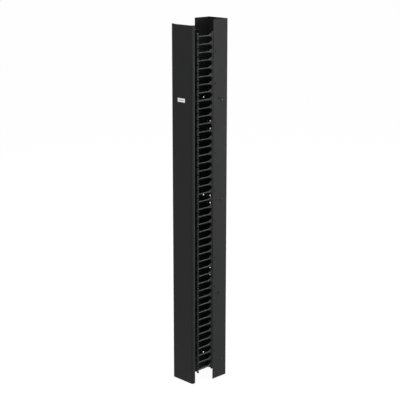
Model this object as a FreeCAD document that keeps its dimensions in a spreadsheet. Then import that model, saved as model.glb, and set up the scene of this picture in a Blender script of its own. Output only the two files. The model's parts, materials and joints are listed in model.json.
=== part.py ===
import FreeCAD, Part
import math
import os

import Sketcher

# Vertical cable manager: a U-shaped steel channel with two rows of moulded cable
# fingers, a full-height front door on two quick-release hinges, and two magnet catches.
# Frame: X to the right seen from the front, Y to the rear, Z up. The origin is at the
# middle of the width and of the depth, at the channel's bottom edge. Millimetres.

document = FreeCAD.newDocument("vertical_cable_manager")
sheet = document.addObject("Spreadsheet::Sheet", "Sizes")

# Driving dimensions, in millimetres or plain counts.
DRIVING = {
    # rack grid
    "rack_unit": 44.45,
    "height_units": 48,
    # channel
    "channel_width": 149.0,
    "channel_depth": 113.0,
    "channel_sheet": 1.5,
    "channel_bend": 3.5,
    "back_hole_radius": 4.5,
    "back_hole_inset": 13.0,
    "back_station_units": 10,
    "back_stations": 5,
    "side_hole_radius": 4.5,
    "side_hole_setback": 69.0,
    "side_hole_low": 110.0,
    "side_hole_middle": 1099.0,
    "tooling_hole_radius": 3.0,
    "tooling_hole_setback": 60.0,
    "tooling_hole_rise": 14.0,
    # finger strips
    "strips_per_side": 5,
    "fingers_per_strip": 9,
    "strip_joint": 0.4,
    "rivet_finger": 2,
    "rivet_finger_step": 4,
    "finger_reach": 128.0,
    "finger_width": 8.0,
    "finger_inset": 0.5,
    "spine_depth": 10.0,
    "flange_depth": 26.0,
    "flange_thick": 3.0,
    "beam_lift": 4.2,
    "beam_thick": 5.7,
    "root_depth": 11.4,
    "root_reach": 30.0,
    "flare_reach": 27.0,
    "flare_rise": 17.3,
    "head_radius": 27.0,
    "head_thick": 12.0,
    "head_half": 20.3,
    "head_drop": 2.7,
    # blind rivets
    "rivet_setback": 15.0,
    "rivet_radius": 2.4,
    "rivet_clear": 0.1,
    "rivet_head_radius": 4.6,
    "rivet_head_thick": 1.2,
    "rivet_tail": 2.0,
    # door
    "door_overhang": 8.0,
    "door_standoff": 174.5,
    "door_end_gap": 21.5,
    "door_flange": 22.5,
    "door_corner": 11.0,
    "door_sheet": 1.5,
    "notch_clear": 4.0,
    "notch_depth": 13.0,
    "notch_overcut": 1.5,
    # label plate
    "label_width": 67.0,
    "label_height": 24.0,
    "label_thick": 0.4,
    "label_inset": 42.0,
    "label_level": 1693.5,
    "label_corner": 2.0,
    # hinge arms and knuckles
    "hinge_low": 511.0,
    "hinge_pitch_units": 26,
    "arm_plate": 2.0,
    "arm_height": 60.0,
    "arm_clear": 1.0,
    "arm_tab_front": 32.0,
    "arm_tab_rear": 84.0,
    "arm_jog_run": 14.0,
    "arm_taper_rear": 60.0,
    "arm_taper_front": 134.0,
    "arm_rivet_front": 40.0,
    "arm_rivet_rear": 77.0,
    "arm_rivet_rise": 22.0,
    "arm_hole_rise": 11.0,
    "axis_inset": 16.0,
    "knuckle_height": 16.0,
    "bush_wall": 1.0,
    "bush_flange": 1.0,
    "bush_fit": 0.03,
    # spring-loaded hinge pins and their brackets
    "pin_radius": 2.5,
    "pin_fit": 0.05,
    "pin_overrun": 0.5,
    "ear_fit": 0.1,
    "pin_stroke": 18.5,
    "collar_radius": 4.2,
    "collar_thick": 2.0,
    "knob_radius": 6.0,
    "knob_height": 8.0,
    "knob_gap": 3.0,
    "spring_radius": 4.0,
    "spring_wire": 0.9,
    "ear_plate": 2.0,
    "ear_radius": 7.0,
    "ear_spacing": 40.0,
    "ear_side": 22.0,
    "bracket_clear": 0.5,
    "seat_gap": 0.3,
    # magnet catches
    "catch_finger": 36,
    "catch_pitch_units": 26,
    "catch_arm_height": 12.0,
    "catch_tab_rear": 56.0,
    "catch_rivet_rear": 50.0,
    "catch_foot": 26.0,
    "magnet_width": 20.0,
    "magnet_depth": 15.0,
    "magnet_inset": 14.0,
    "catch_screw_radius": 2.0,
    "catch_screw_clear": 0.1,
    "catch_screw_head": 3.8,
    "catch_screw_head_thick": 2.0,
    "catch_screw_grip": 7.5,
    "catch_screw_hole": 10.0,
    # bolts in the right-hand wall
    "bolt_radius": 4.0,
    "bolt_head_radius": 7.0,
    "bolt_head_height": 4.0,
    "bolt_socket_radius": 2.6,
    "bolt_socket_depth": 2.4,
    "bolt_length": 14.0,
    "nut_radius": 7.4,
    "nut_height": 6.5,
    "nut_fit": 0.05,
}

# Sizes that follow from the driving ones.
DERIVED = {
    "channel_height": "=rack_unit * height_units",
    "overall_depth": "=channel_depth + door_standoff + label_thick",
    "rear_face": "=overall_depth / 2",
    "wall_front": "=rear_face - channel_depth",
    "door_front": "=wall_front - door_standoff",
    "door_width": "=channel_width + 2 * door_overhang",
    "wall_inside": "=channel_width / 2 - channel_sheet",
    "strip_length": "=rack_unit * fingers_per_strip",
    "strips_bottom": "=(channel_height - strips_per_side * strip_length) / 2",
    "first_station": "=strips_bottom + rack_unit / 2",
    "first_beam_top": "=first_station + beam_lift",
    "finger_outside": "=channel_width / 2 - finger_inset",
    "spine_front": "=wall_front - spine_depth",
    "flare_radius": "=(flare_reach ^ 2 + flare_rise ^ 2) / (2 * flare_rise)",
    "head_middle": "=head_radius - head_thick / 2",
    "head_inner": "=head_radius - head_thick",
    "lobe_rise": "=head_half - head_thick / 2",
    "lobe_run": "=sqrt(head_middle ^ 2 - lobe_rise ^ 2)",
    "head_centre": "=wall_front - finger_reach + head_radius",
    "rivet_hole": "=rivet_radius + rivet_clear",
    "rivet_line": "=wall_front + rivet_setback",
    "rivet_first": "=first_station + rivet_finger * rack_unit",
    "rivet_step": "=rivet_finger_step * rack_unit",
    "hinge_high": "=hinge_low + hinge_pitch_units * rack_unit",
    "side_hole_high": "=hinge_high + arm_hole_rise",
    "arm_shift": "=finger_inset + finger_width + arm_clear - channel_sheet",
    "arm_mitre": "=arm_plate * tan(atan(arm_shift / arm_jog_run) / 2)",
    "arm_outside": "=wall_inside - arm_shift",
    "arm_inside": "=arm_outside - arm_plate",
    "knuckle_bore": "=pin_radius + pin_fit + bush_wall + bush_fit",
    "knuckle_radius": "=knuckle_bore + arm_plate",
    "axis_side": "=arm_inside + knuckle_radius",
    "axis_front": "=door_front + axis_inset",
    "door_back": "=door_front + door_sheet",
    "ear_base": "=knuckle_height / 2 + bush_flange + seat_gap",
    "ear_top": "=ear_base + ear_plate + ear_spacing",
    "collar_base": "=ear_base + ear_plate + seat_gap",
    "spring_base": "=collar_base + collar_thick",
    "foot_front": "=door_back + seat_gap + magnet_depth",
    "magnet_middle": "=arm_outside - magnet_inset",
    "catch_high": "=first_beam_top + catch_finger * rack_unit - beam_thick / 2",
    "catch_low": "=catch_high - catch_pitch_units * rack_unit",
}

HINGE_LEVELS = {"lower": "Sizes.hinge_low", "upper": "Sizes.hinge_high"}
CATCH_LEVELS = {"lower": "Sizes.catch_low", "upper": "Sizes.catch_high"}


def fill_sheet():
    """Write every size into the sheet under its own name."""
    rows = list(DRIVING.items()) + list(DERIVED.items())
    for row, (alias, content) in enumerate(rows, start=1):
        sheet.set(f"A{row}", alias)
        sheet.set(f"B{row}", str(content))
        sheet.setAlias(f"B{row}", alias)
    document.recompute()


def size(alias):
    """The present value of one size."""
    return float(sheet.get(alias))


def number(expression):
    """The present value of an expression over the sheet."""
    return float(sheet.evalExpression(expression))


class Piece:
    """One sub-part: a body built from sketches whose dimensions follow the sheet."""

    def __init__(self, label):
        self.body = document.addObject("PartDesign::Body", "Body_" + label)
        self.body.Label = label
        self.planes = {item.Role: item for item in self.body.Origin.OriginFeatures}
        self.count = 0

    def name(self, kind):
        self.count += 1
        return f"{self.body.Label}_{kind}_{self.count}"

    def sketch(self, plane, offset="0", shift=None):
        """A sketch on an origin plane, moved along its normal and, with shift, within it."""
        made = self.body.newObject("Sketcher::SketchObject", self.name("sketch"))
        made.AttachmentSupport = (self.planes[plane], [""])
        made.MapMode = "FlatFace"
        made.setExpression("AttachmentOffset.Base.z", offset)
        if shift:
            made.setExpression("AttachmentOffset.Base.x", shift[0])
            made.setExpression("AttachmentOffset.Base.y", shift[1])
        return made

    def outline(self, sketch, corners, arcs=None):
        """A closed outline through corners given as expressions.

        arcs maps the index of an edge's first corner to (radius expression, side),
        where side is 1 for an arc that turns left along the outline and -1 for right.
        """
        arcs = arcs or {}
        first = sketch.GeometryCount
        points = [FreeCAD.Vector(number(u), number(v), 0) for u, v in corners]
        total = len(points)
        ends = []
        for index, start in enumerate(points):
            finish = points[(index + 1) % total]
            if index in arcs:
                radius, side = arcs[index]
                sketch.addGeometry(arc_between(start, finish, number(radius), side), False)
                ends.append((1, 2) if side > 0 else (2, 1))
            else:
                sketch.addGeometry(Part.LineSegment(start, finish), False)
                ends.append((1, 2))
        for index in range(total):
            following = (index + 1) % total
            sketch.addConstraint(
                Sketcher.Constraint(
                    "Coincident", first + index, ends[index][1], first + following, ends[following][0]
                )
            )
        for index, (u, v) in enumerate(corners):
            bind(sketch, "DistanceX", (-1, 1, first + index, ends[index][0]), u)
            bind(sketch, "DistanceY", (-1, 1, first + index, ends[index][0]), v)
        for index, (radius, _) in arcs.items():
            bind(sketch, "Radius", (first + index,), radius)
        return sketch

    def rectangle(self, sketch, low, high):
        """An upright rectangle from its low to its high corner, as expressions."""
        corners = [(low[0], low[1]), (high[0], low[1]), (high[0], high[1]), (low[0], high[1])]
        return self.outline(sketch, corners)

    def circles(self, sketch, centres, radius):
        """Circles of one radius round centres given as expressions."""
        for u, v in centres:
            centre = FreeCAD.Vector(number(u), number(v), 0)
            circle = Part.Circle(centre, FreeCAD.Vector(0, 0, 1), number(radius))
            index = sketch.addGeometry(circle, False)
            bind(sketch, "DistanceX", (-1, 1, index, 3), u)
            bind(sketch, "DistanceY", (-1, 1, index, 3), v)
            bind(sketch, "Radius", (index,), radius)
        return sketch

    def pad(self, sketch, length, symmetric=False, backwards=False):
        made = self.body.newObject("PartDesign::Pad", self.name("pad"))
        made.Profile = sketch
        made.SideType = "Symmetric" if symmetric else "One side"
        made.Reversed = backwards
        made.setExpression("Length", length)
        document.recompute()
        return made

    def pocket(self, sketch, length=None, backwards=False):
        """A cut against the sketch's normal, or through everything both ways."""
        before = self.body.Shape.Volume
        made = self.body.newObject("PartDesign::Pocket", self.name("pocket"))
        made.Profile = sketch
        if length is None:
            made.SideType = "Symmetric"
            made.Type = "ThroughAll"
        else:
            made.setExpression("Length", length)
            made.Reversed = backwards
        document.recompute()
        if self.body.Shape.Volume >= before:
            raise RuntimeError(f"{made.Name} cuts nothing")
        return made

    def revolve(self, sketch):
        made = self.body.newObject("PartDesign::Revolution", self.name("revolution"))
        made.Profile = sketch
        made.ReferenceAxis = (sketch, ["V_Axis"])
        made.Angle = 360
        document.recompute()
        return made

    def repeat(self, features, axis, pitch, copies):
        """Copies of features in a row along an origin axis."""
        made = self.body.newObject("PartDesign::LinearPattern", self.name("row"))
        made.Originals = features
        made.Direction = (self.planes[axis], [""])
        made.setExpression("Occurrences", copies)
        made.setExpression("Length", f"({pitch}) * (({copies}) - 1)")
        self.body.Tip = made
        document.recompute()
        return made


def bind(sketch, kind, where, expression):
    """Add a dimension to a sketch and tie it to an expression."""
    index = sketch.addConstraint(Sketcher.Constraint(kind, *where, number(expression)))
    sketch.setExpression(f"Constraints[{index}]", expression)


def arc_between(start, finish, radius, side):
    """The short arc from start to finish that turns left (side 1) or right (side -1)."""
    chord = finish - start
    half = chord.Length / 2
    across = FreeCAD.Vector(-chord.y, chord.x, 0).normalize()
    height = math.sqrt(max(radius ** 2 - half ** 2, 0.0))
    centre = (start + finish) * 0.5 + across * height * side
    first, last = (start, finish) if side > 0 else (finish, start)
    begin = math.atan2(first.y - centre.y, first.x - centre.x)
    end = math.atan2(last.y - centre.y, last.x - centre.x)
    if end <= begin:
        end += 2 * math.pi
    return Part.ArcOfCircle(Part.Circle(centre, FreeCAD.Vector(0, 0, 1), radius), begin, end)


def rivet_levels():
    """Heights of the strip rivets: by the third and seventh finger of every strip."""
    levels = []
    for strip in range(int(size("strips_per_side"))):
        base = f"Sizes.rivet_first + {strip} * Sizes.strip_length"
        levels.append(base)
        levels.append(f"{base} + Sizes.rivet_step")
    return levels


def back_hole_places():
    """Pairs of holes one rack unit apart at each station, near both sides of the back."""
    places = []
    for station in range(int(size("back_stations"))):
        step = f"({station} - (Sizes.back_stations - 1) / 2) * Sizes.back_station_units"
        for half in ("-0.5", "0.5"):
            level = f"Sizes.channel_height / 2 + ({step} + {half}) * Sizes.rack_unit"
            for side in ("-1", "1"):
                across = f"{side} * (Sizes.channel_width / 2 - Sizes.back_hole_inset)"
                places.append((across, level))
    return places


def side_hole_places():
    """The three rack holes in each side wall."""
    setback = "Sizes.wall_front + Sizes.side_hole_setback"
    return [(setback, f"Sizes.side_hole_{which}") for which in ("low", "middle", "high")]


def arm_rivet_places(level):
    """Four rivets through a hinge arm's tab round its centre height."""
    places = []
    for setback in ("arm_rivet_front", "arm_rivet_rear"):
        for sign in ("-", "+"):
            places.append((f"Sizes.wall_front + Sizes.{setback}", f"{level} {sign} Sizes.arm_rivet_rise"))
    return places


def catch_rivet_places(level):
    """Two rivets in line along a catch arm's slim tab."""
    return [
        ("Sizes.wall_front + Sizes.arm_rivet_front", level),
        ("Sizes.wall_front + Sizes.catch_rivet_rear", level),
    ]


def make_channel():
    """A bent U-shaped sheet, open at the front, top and bottom, with its holes."""
    piece = Piece("channel_body")
    half = "Sizes.channel_width / 2"
    bend_out = "(Sizes.channel_width / 2 - Sizes.channel_bend)"
    bend_back = "Sizes.rear_face - Sizes.channel_bend"
    inner_bend = "Sizes.channel_bend - Sizes.channel_sheet"
    back_inside = "Sizes.rear_face - Sizes.channel_sheet"
    corners = [
        (f"-{half}", "Sizes.wall_front"),
        ("-Sizes.wall_inside", "Sizes.wall_front"),
        ("-Sizes.wall_inside", bend_back),
        (f"-{bend_out}", back_inside),
        (bend_out, back_inside),
        ("Sizes.wall_inside", bend_back),
        ("Sizes.wall_inside", "Sizes.wall_front"),
        (half, "Sizes.wall_front"),
        (half, bend_back),
        (bend_out, "Sizes.rear_face"),
        (f"-{bend_out}", "Sizes.rear_face"),
        (f"-{half}", bend_back),
    ]
    arcs = {
        2: (inner_bend, -1),
        4: (inner_bend, -1),
        8: ("Sizes.channel_bend", 1),
        10: ("Sizes.channel_bend", 1),
    }
    piece.pad(piece.outline(piece.sketch("XY_Plane"), corners, arcs), "Sizes.channel_height")
    piece.pocket(piece.circles(piece.sketch("XZ_Plane"), back_hole_places(), "Sizes.back_hole_radius"))
    piece.pocket(piece.circles(piece.sketch("YZ_Plane"), side_hole_places(), "Sizes.side_hole_radius"))
    strip_rivets = [("Sizes.rivet_line", level) for level in rivet_levels()]
    piece.pocket(piece.circles(piece.sketch("YZ_Plane"), strip_rivets, "Sizes.rivet_hole"))
    left = [place for level in HINGE_LEVELS.values() for place in arm_rivet_places(level)]
    right = [place for level in CATCH_LEVELS.values() for place in catch_rivet_places(level)]
    piece.pocket(piece.circles(piece.sketch("YZ_Plane"), left, "Sizes.rivet_hole"), half)
    catches = piece.circles(piece.sketch("YZ_Plane"), right, "Sizes.rivet_hole")
    piece.pocket(catches, half, backwards=True)
    setback = "Sizes.wall_front + Sizes.tooling_hole_setback"
    places = [
        (setback, "Sizes.side_hole_high + Sizes.tooling_hole_rise"),
        (setback, "Sizes.side_hole_middle - Sizes.tooling_hole_rise"),
    ]
    tooling = piece.circles(piece.sketch("YZ_Plane"), places, "Sizes.tooling_hole_radius")
    piece.pocket(tooling, half, backwards=True)
    return piece


def finger_profile(piece, sketch, beam_top):
    """The beam of one finger with its concave flare up to the spine and its sloped root below."""
    root = "Sizes.spine_front + Sizes.spine_depth / 2"
    flare_end = "Sizes.spine_front - Sizes.flare_reach"
    slope_end = "Sizes.spine_front - Sizes.root_reach"
    head_mid = "Sizes.wall_front - Sizes.finger_reach + Sizes.head_thick / 2"
    corners = [
        (root, f"{beam_top} + Sizes.flare_rise"),
        ("Sizes.spine_front", f"{beam_top} + Sizes.flare_rise"),
        (flare_end, beam_top),
        (head_mid, beam_top),
        (head_mid, f"{beam_top} - Sizes.beam_thick"),
        (slope_end, f"{beam_top} - Sizes.beam_thick"),
        ("Sizes.spine_front", f"{beam_top} - Sizes.root_depth"),
        (root, f"{beam_top} - Sizes.root_depth"),
    ]
    return piece.outline(sketch, corners, {1: ("Sizes.flare_radius", -1)})


def head_profile(piece, sketch, beam_top):
    """The crescent head: a band of even thickness about one centre, with round lobes."""
    middle = f"{beam_top} - Sizes.head_drop"

    def on_ray(radius, sign):
        along = f"Sizes.head_centre - Sizes.lobe_run * {radius} / Sizes.head_middle"
        return (along, f"{middle} {sign} Sizes.lobe_rise * {radius} / Sizes.head_middle")

    def lobe_end(sign):
        reach = "Sizes.head_thick / 2 / Sizes.head_middle"
        along = f"Sizes.head_centre - Sizes.lobe_run + Sizes.lobe_rise * {reach}"
        return (along, f"{middle} {sign} (Sizes.lobe_rise + Sizes.lobe_run * {reach})")

    corners = [
        on_ray("Sizes.head_radius", "+"),
        on_ray("Sizes.head_radius", "-"),
        lobe_end("-"),
        on_ray("Sizes.head_inner", "-"),
        on_ray("Sizes.head_inner", "+"),
        lobe_end("+"),
    ]
    arcs = {
        0: ("Sizes.head_radius", 1),
        1: ("Sizes.head_thick / 2", 1),
        2: ("Sizes.head_thick / 2", 1),
        3: ("Sizes.head_inner", -1),
        4: ("Sizes.head_thick / 2", 1),
        5: ("Sizes.head_thick / 2", 1),
    }
    return piece.outline(sketch, corners, arcs)


def make_finger_strip(side, number_up):
    """One moulding: nine fingers on a spine, with a flange that rivets to the wall."""
    piece = Piece(f"finger_strip_{side}_{number_up}")
    if side == "right":
        inner_face = "Sizes.finger_outside - Sizes.finger_width"
        flange_face = "Sizes.wall_inside - Sizes.flange_thick"
    else:
        inner_face = "-Sizes.finger_outside"
        flange_face = "-Sizes.wall_inside"
    bottom = f"(Sizes.strips_bottom + {number_up - 1} * Sizes.strip_length)"
    low = f"{bottom} + Sizes.strip_joint / 2"
    high = f"{bottom} + Sizes.strip_length - Sizes.strip_joint / 2"
    beam_top = f"Sizes.first_beam_top + {number_up - 1} * Sizes.strip_length"
    spine = piece.rectangle(
        piece.sketch("YZ_Plane", inner_face), ("Sizes.spine_front", low), ("Sizes.wall_front", high)
    )
    piece.pad(spine, "Sizes.finger_width")
    flange = piece.rectangle(
        piece.sketch("YZ_Plane", flange_face),
        ("Sizes.spine_front + Sizes.spine_depth / 2", low),
        ("Sizes.wall_front + Sizes.flange_depth", high),
    )
    piece.pad(flange, "Sizes.flange_thick")
    beam = finger_profile(piece, piece.sketch("YZ_Plane", inner_face), beam_top)
    beam_pad = piece.pad(beam, "Sizes.finger_width")
    head = head_profile(piece, piece.sketch("YZ_Plane", inner_face), beam_top)
    head_pad = piece.pad(head, "Sizes.finger_width")
    piece.repeat([beam_pad, head_pad], "Z_Axis", "Sizes.rack_unit", "Sizes.fingers_per_strip")
    first = f"Sizes.rivet_first + {number_up - 1} * Sizes.strip_length"
    holes = [("Sizes.rivet_line", first), ("Sizes.rivet_line", f"{first} + Sizes.rivet_step")]
    piece.pocket(piece.circles(piece.sketch("YZ_Plane"), holes, "Sizes.rivet_hole"))
    return piece


def make_rivets(label, side, places, grip):
    """Blind rivets set from outside through a side wall and what it carries."""
    piece = Piece(label)
    outside = "Sizes.channel_width / 2" if side == "right" else "-Sizes.channel_width / 2"
    outward = side == "left"
    heads = piece.circles(piece.sketch("YZ_Plane", outside), places, "Sizes.rivet_head_radius")
    piece.pad(heads, "Sizes.rivet_head_thick", backwards=outward)
    shanks = piece.circles(piece.sketch("YZ_Plane", outside), places, "Sizes.rivet_radius")
    piece.pad(shanks, f"{grip} + Sizes.rivet_tail", backwards=not outward)
    return piece


def arm_outline(piece, sketch, side, front, foot=False):
    """The plan of an arm: a tab on the wall, a jog past the finger row, a straight run."""
    sign = "-" if side == "left" else ""
    rear = "Sizes.arm_tab_rear" if side == "left" else "Sizes.catch_tab_rear"
    jog_rear = "Sizes.wall_front + Sizes.arm_tab_front"
    jog_front = f"{jog_rear} - Sizes.arm_jog_run"
    tab_inside = "(Sizes.wall_inside - Sizes.arm_plate)"
    corners = [
        (f"{sign}Sizes.wall_inside", f"Sizes.wall_front + {rear}"),
        (f"{sign}Sizes.wall_inside", jog_rear),
        (f"{sign}Sizes.arm_outside", jog_front),
        (f"{sign}Sizes.arm_outside", front),
    ]
    if foot:
        corners.append(("Sizes.arm_outside - Sizes.catch_foot", front))
        corners.append(("Sizes.arm_outside - Sizes.catch_foot", f"{front} + Sizes.arm_plate"))
        corners.append(("Sizes.arm_inside", f"{front} + Sizes.arm_plate"))
    else:
        corners.append((f"{sign}Sizes.arm_inside", front))
    corners.append((f"{sign}Sizes.arm_inside", f"{jog_front} + Sizes.arm_mitre"))
    corners.append((f"{sign}{tab_inside}", f"{jog_rear} + Sizes.arm_mitre"))
    corners.append((f"{sign}{tab_inside}", f"Sizes.wall_front + {rear}"))
    return piece.outline(sketch, corners)


def make_hinge_arm(where):
    """A steel arm from the left wall past the fingers to a hinge knuckle."""
    level = HINGE_LEVELS[where]
    piece = Piece(f"hinge_arm_{where}")
    plan = piece.sketch("XY_Plane", level)
    arm_outline(piece, plan, "left", "Sizes.axis_front")
    piece.pad(plan, "Sizes.arm_height", symmetric=True)
    clear_front = "Sizes.axis_front - Sizes.knuckle_radius"
    taper_rear = "Sizes.wall_front - Sizes.arm_taper_rear"
    taper_front = "Sizes.wall_front - Sizes.arm_taper_front"
    for sign in ("+", "-"):
        edge = f"{level} {sign} Sizes.arm_height / 2"
        beyond = f"{level} {sign} Sizes.arm_height"
        neck = f"{level} {sign} Sizes.knuckle_height / 2"
        corners = [
            (taper_rear, beyond),
            (taper_rear, edge),
            (taper_front, neck),
            (clear_front, neck),
            (clear_front, beyond),
        ]
        piece.pocket(piece.outline(piece.sketch("YZ_Plane"), corners))
    axis = [("-Sizes.axis_side", "Sizes.axis_front")]
    knuckle = piece.circles(piece.sketch("XY_Plane", level), axis, "Sizes.knuckle_radius")
    piece.pad(knuckle, "Sizes.knuckle_height", symmetric=True)
    piece.pocket(piece.circles(piece.sketch("XY_Plane", level), axis, "Sizes.knuckle_bore"))
    piece.pocket(piece.circles(piece.sketch("YZ_Plane"), arm_rivet_places(level), "Sizes.rivet_hole"))
    bolt = [("Sizes.wall_front + Sizes.side_hole_setback", f"{level} + Sizes.arm_hole_rise")]
    piece.pocket(piece.circles(piece.sketch("YZ_Plane"), bolt, "Sizes.side_hole_radius"))
    return piece


def turned(label, level, corners):
    """A round piece about the hinge axis, from an outline of radius and height."""
    piece = Piece(label)
    sketch = piece.sketch("XZ_Plane", "-Sizes.axis_front", ("-Sizes.axis_side", level))
    piece.revolve(piece.outline(sketch, corners))
    return piece


def make_hinge_bush(where):
    """A flanged plastic bush in the knuckle."""
    bore = "Sizes.pin_radius + Sizes.pin_fit"
    wall = "Sizes.pin_radius + Sizes.pin_fit + Sizes.bush_wall"
    half = "Sizes.knuckle_height / 2"
    corners = [
        (bore, f"-{half}"),
        (wall, f"-{half}"),
        (wall, half),
        ("Sizes.knuckle_radius", half),
        ("Sizes.knuckle_radius", f"{half} + Sizes.bush_flange"),
        (bore, f"{half} + Sizes.bush_flange"),
    ]
    return turned(f"hinge_bush_{where}", HINGE_LEVELS[where], corners)


def make_hinge_pin(where):
    """The spring-loaded pin with its collar and pull knob."""
    tip = "-Sizes.knuckle_height / 2 - Sizes.pin_overrun"
    knob_base = "Sizes.ear_top + Sizes.ear_plate + Sizes.knob_gap"
    knob_top = f"{knob_base} + Sizes.knob_height"
    corners = [
        ("0", tip),
        ("Sizes.pin_radius", tip),
        ("Sizes.pin_radius", "Sizes.collar_base"),
        ("Sizes.collar_radius", "Sizes.collar_base"),
        ("Sizes.collar_radius", "Sizes.spring_base"),
        ("Sizes.pin_radius", "Sizes.spring_base"),
        ("Sizes.pin_radius", knob_base),
        ("Sizes.knob_radius", knob_base),
        ("Sizes.knob_radius", knob_top),
        ("0", knob_top),
    ]
    return turned(f"hinge_pin_{where}", HINGE_LEVELS[where], corners)


def make_pin_spring(where):
    """The coil spring's envelope, between the pin's collar and the upper ear."""
    inner = "Sizes.spring_radius - Sizes.spring_wire"
    corners = [
        (inner, "Sizes.spring_base"),
        ("Sizes.spring_radius", "Sizes.spring_base"),
        ("Sizes.spring_radius", "Sizes.ear_top"),
        (inner, "Sizes.ear_top"),
    ]
    return turned(f"hinge_pin_spring_{where}", HINGE_LEVELS[where], corners)


def make_pin_bracket(where):
    """A two-eared bracket on the door's back, which guides the hinge pin."""
    level = HINGE_LEVELS[where]
    piece = Piece(f"pin_bracket_{where}")
    inner_edge = "-Sizes.door_width / 2 + Sizes.door_corner + Sizes.bracket_clear"
    outer_edge = "-Sizes.axis_side + Sizes.ear_side"
    web_back = "Sizes.door_back + Sizes.ear_plate"
    web = piece.rectangle(
        piece.sketch("XY_Plane", f"{level} + Sizes.ear_base"),
        (inner_edge, "Sizes.door_back"),
        (outer_edge, web_back),
    )
    piece.pad(web, "Sizes.ear_spacing + 2 * Sizes.ear_plate")
    for base in ("Sizes.ear_base", "Sizes.ear_top"):
        corners = [
            (inner_edge, "Sizes.door_back + Sizes.ear_plate / 2"),
            (outer_edge, "Sizes.door_back + Sizes.ear_plate / 2"),
            ("-Sizes.axis_side + Sizes.ear_radius", "Sizes.axis_front"),
            ("-Sizes.axis_side", "Sizes.axis_front + Sizes.ear_radius"),
            ("-Sizes.axis_side - Sizes.ear_radius", "Sizes.axis_front"),
        ]
        arcs = {2: ("Sizes.ear_radius", 1), 3: ("Sizes.ear_radius", 1)}
        ear = piece.outline(piece.sketch("XY_Plane", f"{level} + {base}"), corners, arcs)
        piece.pad(ear, "Sizes.ear_plate")
    axis = [("-Sizes.axis_side", "Sizes.axis_front")]
    piece.pocket(piece.circles(piece.sketch("XY_Plane"), axis, "Sizes.pin_radius + Sizes.ear_fit"))
    return piece


def make_catch_arm(where):
    """A slim arm behind one finger of the right row, with a foot for the magnet."""
    level = CATCH_LEVELS[where]
    piece = Piece(f"catch_arm_{where}")
    plan = piece.sketch("XY_Plane", level)
    arm_outline(piece, plan, "right", "Sizes.foot_front", foot=True)
    piece.pad(plan, "Sizes.catch_arm_height", symmetric=True)
    piece.pocket(piece.circles(piece.sketch("YZ_Plane"), catch_rivet_places(level), "Sizes.rivet_hole"))
    screw_hole = "Sizes.catch_screw_radius + Sizes.catch_screw_clear"
    piece.pocket(piece.circles(piece.sketch("XZ_Plane"), [("Sizes.magnet_middle", level)], screw_hole))
    return piece


def make_catch_magnet(where):
    """The magnet in its case, on the front of the catch arm's foot."""
    level = CATCH_LEVELS[where]
    piece = Piece(f"catch_magnet_{where}")
    case = piece.rectangle(
        piece.sketch("XY_Plane", level),
        ("Sizes.magnet_middle - Sizes.magnet_width / 2", "Sizes.foot_front - Sizes.magnet_depth"),
        ("Sizes.magnet_middle + Sizes.magnet_width / 2", "Sizes.foot_front"),
    )
    piece.pad(case, "Sizes.catch_arm_height", symmetric=True)
    hole = piece.circles(
        piece.sketch("XZ_Plane", "-Sizes.foot_front"),
        [("Sizes.magnet_middle", level)],
        "Sizes.catch_screw_radius + Sizes.catch_screw_clear",
    )
    piece.pocket(hole, "Sizes.catch_screw_hole", backwards=True)
    return piece


def make_catch_screws():
    """One screw through each catch arm's foot into the magnet case."""
    piece = Piece("catch_screws")
    places = [("Sizes.magnet_middle", level) for level in CATCH_LEVELS.values()]
    back = "-Sizes.foot_front - Sizes.arm_plate"
    heads = piece.circles(piece.sketch("XZ_Plane", back), places, "Sizes.catch_screw_head")
    piece.pad(heads, "Sizes.catch_screw_head_thick", backwards=True)
    shanks = piece.circles(piece.sketch("XZ_Plane", back), places, "Sizes.catch_screw_radius")
    piece.pad(shanks, "Sizes.arm_plate + Sizes.catch_screw_grip")
    return piece


def make_door():
    """The door: one sheet with large rounded edges and a return flange each side."""
    piece = Piece("door_panel")
    half = "Sizes.door_width / 2"
    side_in = "(Sizes.door_width / 2 - Sizes.door_sheet)"
    turn = "(Sizes.door_width / 2 - Sizes.door_corner)"
    turn_back = "Sizes.door_front + Sizes.door_corner"
    flange_back = "Sizes.door_front + Sizes.door_flange"
    inner_radius = "Sizes.door_corner - Sizes.door_sheet"
    corners = [
        (f"-{half}", flange_back),
        (f"-{half}", turn_back),
        (f"-{turn}", "Sizes.door_front"),
        (turn, "Sizes.door_front"),
        (half, turn_back),
        (half, flange_back),
        (side_in, flange_back),
        (side_in, turn_back),
        (turn, "Sizes.door_back"),
        (f"-{turn}", "Sizes.door_back"),
        (f"-{side_in}", turn_back),
        (f"-{side_in}", flange_back),
    ]
    arcs = {
        1: ("Sizes.door_corner", 1),
        3: ("Sizes.door_corner", 1),
        7: (inner_radius, -1),
        9: (inner_radius, -1),
    }
    plan = piece.outline(piece.sketch("XY_Plane", "Sizes.door_end_gap"), corners, arcs)
    piece.pad(plan, "Sizes.channel_height - 2 * Sizes.door_end_gap")
    for level in HINGE_LEVELS.values():
        reach = "(Sizes.knuckle_height / 2 + Sizes.notch_clear)"
        notch = piece.rectangle(
            piece.sketch("YZ_Plane", f"-{turn}"),
            (f"{flange_back} - Sizes.notch_depth", f"{level} - {reach}"),
            (f"{flange_back} + Sizes.notch_overcut", f"{level} + {reach}"),
        )
        piece.pocket(notch, "Sizes.door_corner + Sizes.notch_overcut")
    return piece


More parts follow.
